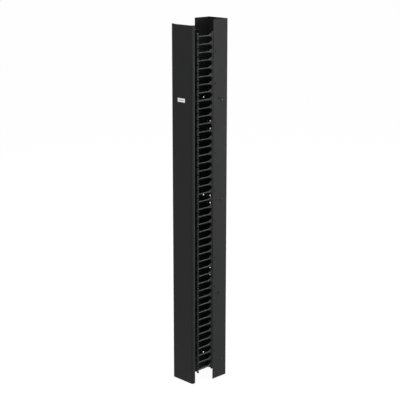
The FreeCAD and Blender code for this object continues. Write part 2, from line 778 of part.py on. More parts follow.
def make_label():
    """A bare label plate on the door's front."""
    piece = Piece("label_plate")
    left = "(Sizes.label_inset - Sizes.door_width / 2)"
    right = f"({left} + Sizes.label_width)"
    low = "(Sizes.label_level - Sizes.label_height / 2)"
    high = "(Sizes.label_level + Sizes.label_height / 2)"
    round_off = "Sizes.label_corner"
    corners = [
        (f"{left} + {round_off}", low),
        (f"{right} - {round_off}", low),
        (right, f"{low} + {round_off}"),
        (right, f"{high} - {round_off}"),
        (f"{right} - {round_off}", high),
        (f"{left} + {round_off}", high),
        (left, f"{high} - {round_off}"),
        (left, f"{low} + {round_off}"),
    ]
    arcs = {index: (round_off, 1) for index in (1, 3, 5, 7)}
    face = piece.outline(piece.sketch("XZ_Plane", "-Sizes.door_front"), corners, arcs)
    piece.pad(face, "Sizes.label_thick")
    return piece


def make_side_bolts():
    """Button-head bolts in the right-hand wall's three rack holes."""
    piece = Piece("side_bolts")
    places = side_hole_places()
    wall = "Sizes.channel_width / 2"
    heads = piece.circles(piece.sketch("YZ_Plane", wall), places, "Sizes.bolt_head_radius")
    piece.pad(heads, "Sizes.bolt_head_height")
    shanks = piece.circles(piece.sketch("YZ_Plane", wall), places, "Sizes.bolt_radius")
    piece.pad(shanks, "Sizes.bolt_length", backwards=True)
    face = f"{wall} + Sizes.bolt_head_height"
    sockets = piece.circles(piece.sketch("YZ_Plane", face), places, "Sizes.bolt_socket_radius")
    piece.pocket(sockets, "Sizes.bolt_socket_depth")
    return piece


def make_side_nuts():
    """Hexagon nuts on those bolts, inside the wall."""
    piece = Piece("side_nuts")
    sketch = piece.sketch("YZ_Plane", "Sizes.wall_inside - Sizes.nut_height")
    turns = [f"{60 * corner} deg" for corner in range(6)]
    for across, level in side_hole_places():
        corners = []
        for turn in turns:
            along = f"{across} + Sizes.nut_radius * cos({turn})"
            corners.append((along, f"{level} + Sizes.nut_radius * sin({turn})"))
        piece.outline(sketch, corners)
    piece.pad(sketch, "Sizes.nut_height")
    bore = "Sizes.bolt_radius + Sizes.nut_fit"
    piece.pocket(piece.circles(piece.sketch("YZ_Plane"), side_hole_places(), bore))
    return piece


def check_document():
    """Stop if any object of the document is in a failed state."""
    for item in document.Objects:
        if "Invalid" in item.State or "Error" in item.State:
            raise RuntimeError(f"{item.Name} failed: {item.State}")


def export(pieces):
    """Check every sub-part's shape and write it to its own file."""
    os.makedirs("parts", exist_ok=True)
    for piece in pieces:
        shape = piece.body.Shape
        if shape.isNull() or not shape.isValid():
            raise RuntimeError(f"{piece.body.Label} has no valid shape")
    for piece in pieces:
        piece.body.Shape.exportStep(f"parts/{piece.body.Label}.step")
        print(piece.body.Label, len(piece.body.Shape.Solids), round(piece.body.Shape.Volume))


def make_all():
    """Every sub-part of the cable manager."""
    pieces = [make_channel()]
    strip_grip = "Sizes.channel_sheet + Sizes.flange_thick"
    strip_places = [("Sizes.rivet_line", level) for level in rivet_levels()]
    for side in ("left", "right"):
        for number_up in range(1, int(size("strips_per_side")) + 1):
            pieces.append(make_finger_strip(side, number_up))
        pieces.append(make_rivets(f"strip_rivets_{side}", side, strip_places, strip_grip))
    arm_grip = "Sizes.channel_sheet + Sizes.arm_plate"
    for where in ("lower", "upper"):
        hinge_places = arm_rivet_places(HINGE_LEVELS[where])
        catch_places = catch_rivet_places(CATCH_LEVELS[where])
        pieces.append(make_hinge_arm(where))
        pieces.append(make_rivets(f"hinge_arm_rivets_{where}", "left", hinge_places, arm_grip))
        pieces.append(make_hinge_bush(where))
        pieces.append(make_hinge_pin(where))
        pieces.append(make_pin_spring(where))
        pieces.append(make_pin_bracket(where))
        pieces.append(make_catch_arm(where))
        pieces.append(make_rivets(f"catch_arm_rivets_{where}", "right", catch_places, arm_grip))
        pieces.append(make_catch_magnet(where))
    pieces.append(make_catch_screws())
    pieces.append(make_door())
    pieces.append(make_label())
    pieces.append(make_side_bolts())
    pieces.append(make_side_nuts())
    return pieces


fill_sheet()
all_pieces = make_all()
document.recompute()
check_document()
export(all_pieces)
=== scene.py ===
"""Looks of a tall vertical cable manager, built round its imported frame.

Lengths are in metres. X runs to the right seen from the front, Y to the rear and Z up.
"""

import json
import math

import bpy
import numpy as np
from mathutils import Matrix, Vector


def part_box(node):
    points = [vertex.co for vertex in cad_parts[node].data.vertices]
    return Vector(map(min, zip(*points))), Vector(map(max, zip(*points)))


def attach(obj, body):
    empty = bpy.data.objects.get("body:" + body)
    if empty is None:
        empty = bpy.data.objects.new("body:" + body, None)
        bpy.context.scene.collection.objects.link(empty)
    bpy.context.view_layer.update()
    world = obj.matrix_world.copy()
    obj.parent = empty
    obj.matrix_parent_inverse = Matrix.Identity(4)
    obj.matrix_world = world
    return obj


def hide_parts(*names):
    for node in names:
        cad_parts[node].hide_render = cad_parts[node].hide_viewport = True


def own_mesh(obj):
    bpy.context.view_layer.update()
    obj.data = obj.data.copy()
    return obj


bl_info = {
    "name": "Vertical cable manager",
    "version": (1, 0, 0),
    "blender": (4, 5, 0),
    "location": "3D View > Sidebar > Cable manager",
    "description": "Dresses the packed frame of a tall cable channel with finger rows and a hinged door",
    "category": "Add Mesh",
}

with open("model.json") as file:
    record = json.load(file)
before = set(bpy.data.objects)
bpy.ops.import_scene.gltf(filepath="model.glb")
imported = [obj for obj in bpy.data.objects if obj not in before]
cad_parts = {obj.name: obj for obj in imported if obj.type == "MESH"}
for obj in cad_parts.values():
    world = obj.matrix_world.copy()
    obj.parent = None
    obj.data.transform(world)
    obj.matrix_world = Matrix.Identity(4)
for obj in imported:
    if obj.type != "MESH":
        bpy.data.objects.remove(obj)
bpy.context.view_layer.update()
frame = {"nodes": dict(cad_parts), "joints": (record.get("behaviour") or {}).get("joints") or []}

MM = 0.001
SIDES = ("left", "right")
ENDS = ("lower", "upper")

# Places read from the frame.
channel_low, channel_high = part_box("channel_body")
door_low, door_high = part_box("door_panel")
WALL_FRONT = channel_low.y
STRIP_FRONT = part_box("finger_strip_right_1")[0].y
HINGE = next(joint for joint in frame["joints"] if joint["name"] == "door_hinge")
HINGE_X, HINGE_Y = HINGE["pos_m"][:2]

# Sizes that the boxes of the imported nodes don't give.
RACK_UNIT = 44.45 * MM
FINGERS = 9
STRIPS = 5
SIDE_HOLE_MIDDLE = 1099.0 * MM
CHANNEL_SHEET = 1.5 * MM
ARM_PLATE = 2.0 * MM


# Settings

class FingerSettings(bpy.types.PropertyGroup):
    """Sizes and colour of the moulded finger strips."""

    edge_round: bpy.props.FloatProperty(
        name="Edge rounding",
        description="Radius along the edges of every finger",
        default=2.2 * MM,
        unit="LENGTH",
    )
    fillet: bpy.props.FloatProperty(
        name="Root fillet",
        description="Reach of the fillet under each finger's root",
        default=3.0 * MM,
        unit="LENGTH",
    )
    colour: bpy.props.FloatVectorProperty(
        name="Colour",
        description="Colour of the moulded plastic",
        default=(0.0076, 0.0084, 0.0082),
        subtype="COLOR",
    )
    roughness: bpy.props.FloatProperty(
        name="Roughness",
        description="Roughness of the moulded plastic",
        default=0.5,
        subtype="FACTOR",
    )


class SheetSettings(bpy.types.PropertyGroup):
    """Finish of the painted sheet steel."""

    colour: bpy.props.FloatVectorProperty(
        name="Colour",
        description="Colour of the powder coat",
        default=(0.0133, 0.0137, 0.0136),
        subtype="COLOR",
    )
    roughness: bpy.props.FloatProperty(
        name="Roughness",
        description="Roughness of the powder coat",
        default=0.62,
        subtype="FACTOR",
    )
    texture: bpy.props.FloatProperty(
        name="Texture height",
        description="Depth of the powder coat's fine texture",
        default=0.05 * MM,
        unit="LENGTH",
    )
    hem: bpy.props.FloatProperty(
        name="Cut edge rounding",
        description="Rounding along the door's cut edges",
        default=0.35 * MM,
        unit="LENGTH",
    )


class HardwareSettings(bpy.types.PropertyGroup):
    """Sizes of the rivets, bolts, pins and springs."""

    rivet_dome: bpy.props.FloatProperty(
        name="Rivet dome",
        description="Height of the dome of a rivet's head",
        default=1.2 * MM,
        unit="LENGTH",
    )
    spring_turns: bpy.props.IntProperty(
        name="Spring turns",
        description="Turns of each hinge pin's coil spring",
        default=13,
        min=4,
    )
    spring_wire: bpy.props.FloatProperty(
        name="Spring wire",
        description="Diameter of the spring's wire",
        default=0.9 * MM,
        unit="LENGTH",
    )


class StageSettings(bpy.types.PropertyGroup):
    """Camera, lamps and floor."""

    camera_place: bpy.props.FloatVectorProperty(
        name="Camera place",
        description="Where the camera stands",
        default=(4.452, -4.3594, 2.7068),
        subtype="TRANSLATION",
        unit="LENGTH",
    )
    camera_turn: bpy.props.FloatProperty(
        name="Camera turn",
        description="Turn of the view about the vertical",
        default=math.radians(45.606),
        subtype="ANGLE",
        unit="ROTATION",
    )
    camera_tilt: bpy.props.FloatProperty(
        name="Camera tilt",
        description="Tilt of the view below the horizon",
        default=math.radians(14.48),
        subtype="ANGLE",
        unit="ROTATION",
    )
    lens: bpy.props.FloatProperty(
        name="Lens",
        description="Focal length in millimetres",
        default=100.41,
    )
    key_power: bpy.props.FloatProperty(
        name="Side lamp",
        description="Power of the lamp on the right, which only the side wall faces",
        default=258.0,
        unit="POWER",
    )
    fill_power: bpy.props.FloatProperty(
        name="Front lamp",
        description="Power of the lamp in front of the door",
        default=168.0,
        unit="POWER",
    )
    top_power: bpy.props.FloatProperty(
        name="Top lamp",
        description="Power of the lamp overhead",
        default=150.0,
        unit="POWER",
    )
    world_level: bpy.props.FloatProperty(
        name="World level",
        description="Level of the even light from all round",
        default=0.42,
    )


# Shapes worked out as whole arrays

MOST_CUT = 0.45
SAME_PLACE = 0.01 * MM
SHARPEST_MITRE = 0.6
# Faces round a turned piece: multiples of six, so that a hexagon's corners fall on them.
FEW_FACES, MORE_FACES, MOST_FACES = 24, 36, 48


def closed_mesh(name, vertices, quads, caps=()):
    """A mesh object from vertices, four-cornered faces and flat end caps of many corners."""
    mesh = bpy.data.meshes.new(name)
    faces = np.asarray(quads).tolist() + [list(map(int, cap)) for cap in caps]
    mesh.from_pydata(np.asarray(vertices).tolist(), [], faces)
    shaded = np.ones(len(faces), bool)
    if caps:
        shaded[-len(caps):] = False
    mesh.polygons.foreach_set("use_smooth", shaded)
    mesh.validate()
    made = bpy.data.objects.new(name, mesh)
    bpy.context.scene.collection.objects.link(made)
    return made


def ring_quads(rows, columns):
    """Faces between rings that follow one another, each ring closed on itself."""
    row, column = np.meshgrid(np.arange(rows - 1), np.arange(columns), indexing="ij")
    after = (column + 1) % columns
    corners = [row * columns + column, row * columns + after]
    corners += [(row + 1) * columns + after, (row + 1) * columns + column]
    return np.stack(corners, axis=-1).reshape(-1, 4)


def arc(centre, radius, first, last, steps):
    """Points round a centre from the first to the last angle, in degrees.

    At angle a the point is the centre plus radius times (cos a, sin a).
    """
    angles = np.radians(np.linspace(first, last, steps + 1))
    return np.asarray(centre) + radius * np.stack([np.cos(angles), np.sin(angles)], axis=-1)


def trimmed(run, start, end):
    """A run of points with a length cut off at each end, but never half of the run or more."""
    steps = np.linalg.norm(np.diff(run, axis=0), axis=1)
    along = np.concatenate([[0.0], np.cumsum(steps)])
    start = min(start, MOST_CUT * along[-1])
    end = min(end, MOST_CUT * along[-1])
    inside = (along > start) & (along < along[-1] - end)
    places = np.concatenate([[start], along[inside], [along[-1] - end]])
    return np.stack([np.interp(places, along, run[:, axis]) for axis in (0, 1)], axis=-1)


def eased(runs, reaches, steps=4):
    """One closed outline from runs, with each corner between two runs rounded.

    The corner after a run becomes the curve (1-t)^2 A + 2t(1-t) B + t^2 C, where B is the
    corner and A and C lie one reach before and behind it.
    """
    total = len(runs)
    cut = [trimmed(run, reaches[index - 1], reaches[index]) for index, run in enumerate(runs)]
    share = np.linspace(0.0, 1.0, steps + 2)[1:-1, None]
    pieces = []
    for index, run in enumerate(cut):
        following = cut[(index + 1) % total]
        pieces.append(run)
        if reaches[index] > 0.0:
            corner = runs[index][-1]
            curve = (1 - share) ** 2 * run[-1] + 2 * share * (1 - share) * corner
            pieces.append(curve + share ** 2 * following[0])
    outline = np.concatenate(pieces)
    gap = np.linalg.norm(outline - np.roll(outline, 1, axis=0), axis=1)
    return outline[gap > SAME_PLACE]


def rounded_rectangle(low, high, reach):
    """The left-turning outline of a rectangle with rounded corners."""
    corners = [low, (high[0], low[1]), high, (low[0], high[1])]
    edges = [np.array([corners[index], corners[(index + 1) % 4]]) for index in range(4)]
    return eased(edges, [reach] * 4)


def drawn_in(outline, inset):
    """The closed outline moved into its own material by an inset.

    Each corner goes along the mean of its two edges' normals, by the inset over that mean's
    share of one normal.
    """
    edge = np.roll(outline, -1, axis=0) - outline
    edge /= np.linalg.norm(edge, axis=1)[:, None]
    outward = np.stack([edge[:, 1], -edge[:, 0]], axis=-1)
    mean = outward + np.roll(outward, 1, axis=0)
    mean /= np.linalg.norm(mean, axis=1)[:, None]
    stretch = np.clip((mean * outward).sum(axis=1), SHARPEST_MITRE, 1.0)
    return outline - inset * mean / stretch[:, None]


def plate(outline, low, high, edge_round, steps=3):
    """Vertices, faces and caps of a plate with rounded edges, from a left-turning outline.

    Each ring is the outline drawn in by r(1 - sin a) at a depth of r(1 - cos a) from the
    plate's face, with the angle a running from 0 to 90 degrees at both faces.
    """
    angle = np.linspace(0.0, math.pi / 2, steps + 1)
    insets = edge_round * (1 - np.sin(angle))
    depths = edge_round * (1 - np.cos(angle))
    levels = np.concatenate([low + depths, (high - depths)[::-1]])
    insets = np.concatenate([insets, insets[::-1]])
    rings = [
        np.column_stack([np.full(len(outline), level), drawn_in(outline, inset)])
        for level, inset in zip(levels, insets)
    ]
    count = len(outline)
    quads = ring_quads(len(rings), count)
    last = (len(rings) - 1) * count
    caps = [np.arange(count)[::-1], last + np.arange(count)]
    return np.concatenate(rings), quads, caps


def joined(parts):
    """Several sets of vertices, faces and caps as one."""
    vertices, quads, caps, start = [], [], [], 0
    for points, faces, ends in parts:
        vertices.append(points)
        quads.append(np.asarray(faces) + start)
        caps += [np.asarray(end) + start for end in ends]
        start += len(points)
    return np.concatenate(vertices), np.concatenate(quads), caps


def turned(profile, centre, axis, outward=1.0, steps=32, six_sided=None):
    """A round piece: a profile of (radius, distance) turned about an axis through a centre.

    The radius at angle t is the profile's own, times the six-sided factor
    1 / cos((t mod 60) - 30) in the rows whose six_sided value is 1.
    """
    profile = np.asarray(profile, float)
    angle = np.linspace(0.0, 2 * math.pi, steps, endpoint=False)
    sixth = math.pi / 3
    corner = 1 / np.cos(angle % sixth - sixth / 2)
    flat = np.zeros(len(profile)) if six_sided is None else np.asarray(six_sided, float)
    radius = profile[:, 0, None] * (1 + flat[:, None] * (corner[None, :] - 1))
    distance = np.repeat(profile[:, 1, None], steps, axis=1) * outward
    across, over = radius * np.cos(angle), radius * np.sin(angle)
    order = {"x": (distance, across, over), "y": (over, distance, across), "z": (across, over, distance)}
    vertices = np.stack(order[axis], axis=-1).reshape(-1, 3) + np.asarray(centre, float)
    quads = ring_quads(len(profile), steps)
    first, last = np.arange(steps), (len(profile) - 1) * steps + np.arange(steps)
    caps = [first[::-1], last]
    if outward < 0:
        quads = quads[:, ::-1]
        caps = [first, last[::-1]]
    return vertices, quads, caps


# Materials

# Nearly all of a noise lies between these two values.
NOISE_LOW, NOISE_HIGH = 0.3, 0.7
# The gloss wanders between these shares of a finish's roughness.
GLOSS_LOW, GLOSS_HIGH = 0.92, 1.1
# Light grey that top faces drift to: dust on the powder coat, and painted top light on the fingers.
DUST_AND_TOP_LIGHT = (0.30, 0.318, 0.312)
DUST_AND_LIGHT_SCALE = 60.0
# A face whose normal rises less than this gets neither dust nor painted top light.
DUST_AND_LIGHT_FACING = 0.5


def node_group(name, inputs, outputs):
    """An empty shader group with named number inputs and outputs."""
    group = bpy.data.node_groups.new(name, "ShaderNodeTree")
    for label, value in inputs.items():
        socket = group.interface.new_socket(label, in_out="INPUT", socket_type="NodeSocketFloat")
        socket.default_value = value
    for label in outputs:
        group.interface.new_socket(label, in_out="OUTPUT", socket_type="NodeSocketFloat")
    return group, group.nodes.new("NodeGroupInput"), group.nodes.new("NodeGroupOutput")


def grain_group():
    """Fine grain for a bump, and a slow tone that wanders over the surface."""
    group, given, result = node_group("Fine grain", {"Grain": 900.0, "Spread": 7.0}, ("Height", "Tone"))
    nodes, link = group.nodes, group.links.new
    place = nodes.new("ShaderNodeTexCoord")
    for label, source, detail in (("Height", "Grain", 2.0), ("Tone", "Spread", 5.0)):
        noise = nodes.new("ShaderNodeTexNoise")
        noise.inputs["Detail"].default_value = detail
        link(place.outputs["Object"], noise.inputs["Vector"])
        link(given.outputs[source], noise.inputs["Scale"])
        link(noise.outputs["Fac"], result.inputs[label])
    return group


def dust_and_top_light_group():
    """A mask on faces that look up, broken up by a noise: thin dust on the paint, and painted top light on
    the fingers.
    """
    group, given, result = node_group("Dust and painted top light", {"Amount": 0.3}, ("Mask",))
    nodes, link = group.nodes, group.links.new
    place = nodes.new("ShaderNodeTexCoord")
    split = nodes.new("ShaderNodeSeparateXYZ")
    facing = nodes.new("ShaderNodeMapRange")
    facing.inputs["From Min"].default_value = DUST_AND_LIGHT_FACING
    facing.inputs["From Max"].default_value = 1.0
    noise = nodes.new("ShaderNodeTexNoise")
    noise.inputs["Scale"].default_value = DUST_AND_LIGHT_SCALE
    noise.inputs["Detail"].default_value = 4.0
    link(nodes.new("ShaderNodeNewGeometry").outputs["Normal"], split.inputs["Vector"])
    link(split.outputs["Z"], facing.inputs["Value"])
    link(place.outputs["Object"], noise.inputs["Vector"])
    broken = calculated(group, "MULTIPLY", facing.outputs["Result"], noise.outputs["Fac"])
    link(calculated(group, "MULTIPLY", broken, given.outputs["Amount"]), result.inputs["Mask"])
    return group


GROUPS = {}


def shared(name, tree, **values):
    """A shared group placed in a material with its own values."""
    if name not in GROUPS:
        GROUPS[name] = {"grain": grain_group, "dust_and_top_light": dust_and_top_light_group}[name]()
    placed = tree.nodes.new("ShaderNodeGroup")
    placed.node_tree = GROUPS[name]
    for label, value in values.items():
        placed.inputs[label].default_value = value
    return placed


def mixed(tree, mask, first, second):
    """A colour between two, by a mask; each is a colour or another node's output."""
    mix = tree.nodes.new("ShaderNodeMix")
    mix.data_type = "RGBA"
    tree.links.new(mask, mix.inputs["Factor"])
    for label, source in (("A", first), ("B", second)):
        socket = next(item for item in mix.inputs if item.name == label and item.type == "RGBA")
        if isinstance(source, bpy.types.NodeSocket):
            tree.links.new(source, socket)
        else:
            socket.default_value = (*source[:3], 1.0)
    return next(item for item in mix.outputs if item.type == "RGBA")


def calculated(tree, operation, first, second=0.0):
    """A math node's output; each input is a number or another node's output."""
    node = tree.nodes.new("ShaderNodeMath")
    node.operation = operation
    for socket, source in zip(node.inputs, (first, second)):
        if isinstance(source, bpy.types.NodeSocket):
            tree.links.new(source, socket)
        else:
            socket.default_value = source
    return node.outputs["Value"]


def ranged(tree, source, low, high):
    """A value that goes evenly from low to high as its source runs through a noise's range."""
    spread = tree.nodes.new("ShaderNodeMapRange")
    spread.inputs["From Min"].default_value = NOISE_LOW
    spread.inputs["From Max"].default_value = NOISE_HIGH
    spread.inputs["To Min"].default_value = low
    spread.inputs["To Max"].default_value = high
    tree.links.new(source, spread.inputs["Value"])
    return spread.outputs["Result"]


def finish(
    name, colour, roughness, grain, height, spread=7.0, tone=0.12, metallic=0.0, dust_and_top_light=0.0, shine=0.5
):
    """A finish with fine grain, wandering tone and gloss, and a lighter grey on top faces: dust where the
    amount is small, and painted top light where it is large.

    grain and spread are the scales of the fine and of the slow noise, height is the depth of
    the grain, tone the share by which the colour wanders and shine the specular level.
    """
    made = bpy.data.materials.new(name)
    made.use_nodes = True
    tree = made.node_tree
    surface = tree.nodes["Principled BSDF"]
    surface.inputs["Metallic"].default_value = metallic
    surface.inputs["Specular IOR Level"].default_value = shine
    effect = shared("grain", tree, Grain=grain, Spread=spread)
    darker = [value * (1 - tone) for value in colour]
    lighter = [value * (1 + tone) for value in colour]
    shade = mixed(tree, ranged(tree, effect.outputs["Tone"], 0.0, 1.0), darker, lighter)
    # Top faces drift to light grey: dust, and painted top light where the amount is large.
    if dust_and_top_light:
        dust_and_light = shared("dust_and_top_light", tree, Amount=dust_and_top_light)
        shade = mixed(tree, dust_and_light.outputs["Mask"], shade, DUST_AND_TOP_LIGHT)
    tree.links.new(shade, surface.inputs["Base Color"])
    gloss = ranged(tree, effect.outputs["Tone"], roughness * GLOSS_LOW, roughness * GLOSS_HIGH)
    tree.links.new(gloss, surface.inputs["Roughness"])
    bump = tree.nodes.new("ShaderNodeBump")
    bump.inputs["Strength"].default_value = 1.0
    bump.inputs["Distance"].default_value = height
    tree.links.new(effect.outputs["Height"], bump.inputs["Height"])
    tree.links.new(bump.outputs["Normal"], surface.inputs["Normal"])
    made.diffuse_color = (*colour, 1.0)
    return made


def powder_coat(sheet):
    """Black powder coat on sheet steel."""
    return finish(
        "powder_coat", sheet.colour, sheet.roughness,
        grain=1400.0, height=sheet.texture, dust_and_top_light=0.06, shine=0.105,
    )


def moulded_plastic(fingers):
    """Black plastic with the fine texture of its mould, and tops painted lighter as though lit from above:
    painted top light.
    """
    return finish(
        "finger_plastic", fingers.colour, fingers.roughness,
        # This large amount paints the fingers' tops lighter: painted top light, not dust.
        grain=2200.0, height=0.02 * MM, dust_and_top_light=0.9, shine=0.08,
    )


def rivet_black():
    """Black paint on small aluminium rivets."""
    return finish(
        "rivet_black", (0.004, 0.004, 0.0042), 0.6, grain=1800.0, height=0.01 * MM, spread=90.0, shine=0.05
    )


def bolt_black():
    """Black oxide on steel bolts."""
    return finish(
        "bolt_black", (0.006, 0.006, 0.007), 0.2, grain=2400.0, height=0.005 * MM, spread=120.0, shine=0.35
    )


def zinc_plate():
    """Bright zinc plating, a little blue and uneven."""
    return finish(
        "zinc_plate", (0.58, 0.60, 0.63), 0.3, grain=1500.0, height=0.008 * MM, spread=80.0, metallic=1.0
    )


def spring_steel():
    """Drawn spring wire."""
    return finish(
        "spring_steel", (0.42, 0.42, 0.43), 0.28, grain=3000.0, height=0.005 * MM, spread=150.0, metallic=1.0
    )


def plain_nylon():
    """Uncoloured nylon of the hinge bushes."""
    return finish(
        "plain_nylon", (0.70, 0.69, 0.64), 0.45, grain=1600.0, height=0.01 * MM, spread=60.0, tone=0.04
    )


def magnet_case():
    """Plastic case of a magnet catch."""
    return finish("magnet_case", (0.05, 0.05, 0.052), 0.4, grain=1800.0, height=0.015 * MM, spread=40.0)


LABEL_FILM = (0.86, 0.83, 0.835)
LABEL_FIELD = (0.36, 0.325, 0.335)
# Across and upright: the border round the empty field, and what the film lacks of the plate.
LABEL_MARGINS = (7.0 * MM, 7.5 * MM)
LABEL_TRIM = (10.0 * MM, 3.0 * MM)
LABEL_CORNER = 1.5 * MM
LABEL_EDGE = 0.1 * MM


def label_box():
    """The corners of the label's film: the plate's box less a strip at its left and its foot."""
    low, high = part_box("label_plate")
    across, upright = LABEL_TRIM
    return Vector((low.x + across, low.y, low.z + upright)), high


def within(tree, source, middle, reach):
    """A mask of 1 where a value is within a reach of a middle, and of 0 elsewhere."""
    away = calculated(tree, "SUBTRACT", source, middle)
    return calculated(tree, "LESS_THAN", calculated(tree, "ABSOLUTE", away), reach)


def label_face():
    """Off-white film of a bare label, with an empty grey field inside its border."""
    made = finish("label_face", LABEL_FILM, 0.4, grain=900.0, height=0.01 * MM, spread=30.0, tone=0.03)
    tree = made.node_tree
    low, high = label_box()
    middle = (low + high) / 2
    place_of = tree.nodes.new("ShaderNodeTexCoord")
    split = tree.nodes.new("ShaderNodeSeparateXYZ")
    tree.links.new(place_of.outputs["Object"], split.inputs["Vector"])
    across, upright = LABEL_MARGINS
    along = within(tree, split.outputs["X"], middle.x, high.x - middle.x - across)
    over = within(tree, split.outputs["Z"], middle.z, high.z - middle.z - upright)
    both = calculated(tree, "MULTIPLY", along, over)
    base = tree.nodes["Principled BSDF"].inputs["Base Color"]
    film = base.links[0].from_socket
    tree.links.new(mixed(tree, both, film, LABEL_FIELD), base)
    return made


MATERIALS = {}


def material(name, *settings):
    """The named finish, made once."""
    makers = {
        "powder_coat": powder_coat,
        "finger_plastic": moulded_plastic,
        "rivet_black": rivet_black,
        "bolt_black": bolt_black,
        "zinc_plate": zinc_plate,
        "spring_steel": spring_steel,
        "plain_nylon": plain_nylon,
        "magnet_case": magnet_case,
        "label_face": label_face,
    }
    if name not in MATERIALS:
        MATERIALS[name] = makers[name](*settings)
    return MATERIALS[name]


def dress(node, surface):
    """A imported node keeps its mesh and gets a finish."""
    mesh = frame["nodes"][node].data
    mesh.materials.clear()
    mesh.materials.append(surface)


def place(made, surface, body, slot, stands_for=()):
    """A new piece gets its finish and its body, and the nodes that it stands for are hidden; the slot
    argument is not used.
    """
    made.data.materials.append(surface)
    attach(made, body)
    if stands_for:
        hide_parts(*stands_for)


# Finger strips

SPINE_DEPTH = 10.0 * MM
BEAM_LIFT = 4.2 * MM
BEAM_THICK = 5.7 * MM
ROOT_DEPTH = 11.4 * MM
ROOT_REACH = 30.0 * MM
FLARE_REACH = 27.0 * MM
FLARE_RISE = 17.3 * MM
FLARE_RADIUS = (FLARE_REACH ** 2 + FLARE_RISE ** 2) / (2 * FLARE_RISE)
HEAD_RADIUS = 27.0 * MM
HEAD_THICK = 12.0 * MM
HEAD_HALF = 20.3 * MM
HEAD_DROP = 2.7 * MM
HEAD_MIDDLE = HEAD_RADIUS - HEAD_THICK / 2
HEAD_INNER = HEAD_RADIUS - HEAD_THICK
HEAD_SPREAD = math.degrees(math.asin((HEAD_HALF - HEAD_THICK / 2) / HEAD_MIDDLE))
SPINE_FRONT = WALL_FRONT - SPINE_DEPTH
FLANGE_THICK = 3.0 * MM
FLANGE_OVERLAP = 2.0 * MM
FLANGE_CORNER = 1.0 * MM
FLANGE_EDGE = 0.5 * MM
# Reaches of the roundings along a finger and at the ends of the spine.
SLOPE_ROUND = 8.0 * MM
UNDER_HEAD_ROUND = 0.7 * MM
OVER_HEAD_ROUND = 2.0 * MM
FLARE_ROUND = 1.5 * MM
SPINE_FRONT_ROUND = 1.5 * MM
SPINE_BACK_ROUND = 0.6 * MM
# Steps along a finger's arcs: under its head, inside it, round a lobe, its front and the flare.
UNDER_STEPS, INSIDE_STEPS, LOBE_STEPS, FACE_STEPS, FLARE_STEPS = 2, 8, 12, 14, 10
# The angle, in degrees, of the foremost point of a circle.
FRONT = 180.0


def line_meets_circle(first, last, centre, radius):
    """Where a line from first towards last first meets a circle: the smaller root of a quadratic."""
    step = last - first
    away = first - centre
    a, b, c = step @ step, 2 * step @ away, away @ away - radius ** 2
    return first + step * (-b - math.sqrt(b ** 2 - 4 * a * c)) / (2 * a)


def finger_runs(beam_top):
    """The runs of one finger's outline, each with the rounding after it.

    They go from the root's underside round the crescent head, and back along the top and the
    flare to the spine. The head is a band of even thickness round one centre, with round ends.
    """
    centre = np.array([STRIP_FRONT + HEAD_RADIUS, beam_top - HEAD_DROP])
    lower, upper = FRONT + HEAD_SPREAD, FRONT - HEAD_SPREAD
    root = np.array([SPINE_FRONT, beam_top - ROOT_DEPTH])
    slope_end = np.array([SPINE_FRONT - ROOT_REACH, beam_top - BEAM_THICK])
    tip = np.array([STRIP_FRONT + HEAD_THICK / 2, beam_top - BEAM_THICK])
    under = line_meets_circle(slope_end, tip, centre, HEAD_INNER)
    under_angle = FRONT + math.degrees(math.asin((centre[1] - under[1]) / HEAD_INNER))
    over_angle = FRONT - math.degrees(math.asin(HEAD_DROP / HEAD_INNER))
    lobe = HEAD_THICK / 2
    low_lobe = arc(centre, HEAD_MIDDLE, lower, lower, 1)[0]
    high_lobe = arc(centre, HEAD_MIDDLE, upper, upper, 1)[0]
    inside = arc(centre, HEAD_INNER, upper, over_angle, INSIDE_STEPS)
    flare_end = np.array([SPINE_FRONT - FLARE_REACH, beam_top])
    turn = math.degrees(math.asin(FLARE_REACH / FLARE_RADIUS))
    flare = arc(flare_end + [0.0, FLARE_RADIUS], FLARE_RADIUS, -90.0, turn - 90.0, FLARE_STEPS)
    return [
        (np.stack([root, slope_end]), SLOPE_ROUND),
        (np.stack([slope_end, under]), UNDER_HEAD_ROUND),
        (arc(centre, HEAD_INNER, under_angle, lower, UNDER_STEPS), 0.0),
        (arc(low_lobe, lobe, lower - 180.0, lower - 360.0, LOBE_STEPS), 0.0),
        (arc(centre, HEAD_RADIUS, lower, upper, FACE_STEPS), 0.0),
        (arc(high_lobe, lobe, upper, upper - 180.0, LOBE_STEPS), 0.0),
        (inside, OVER_HEAD_ROUND),
        (np.stack([inside[-1], flare_end]), 0.0),
        (flare, FLARE_ROUND),
    ]


def strip_outline(low, high, beam_tops, fillet):
    """The outline of a whole strip, left-turning: its spine with all its fingers."""
    runs = [(np.array([[WALL_FRONT, low], [SPINE_FRONT, low]]), SPINE_FRONT_ROUND)]
    level = low
    for beam_top in beam_tops:
        root = beam_top - ROOT_DEPTH
        runs.append((np.array([[SPINE_FRONT, level], [SPINE_FRONT, root]]), fillet))
        runs += finger_runs(beam_top)
        level = beam_top + FLARE_RISE
    runs.append((np.array([[SPINE_FRONT, level], [SPINE_FRONT, high]]), SPINE_FRONT_ROUND))
    runs.append((np.array([[SPINE_FRONT, high], [WALL_FRONT, high]]), SPINE_BACK_ROUND))
    runs.append((np.array([[WALL_FRONT, high], [WALL_FRONT, low]]), SPINE_BACK_ROUND))
    points, reaches = zip(*runs)
    return eased(list(points), list(reaches))[::-1]


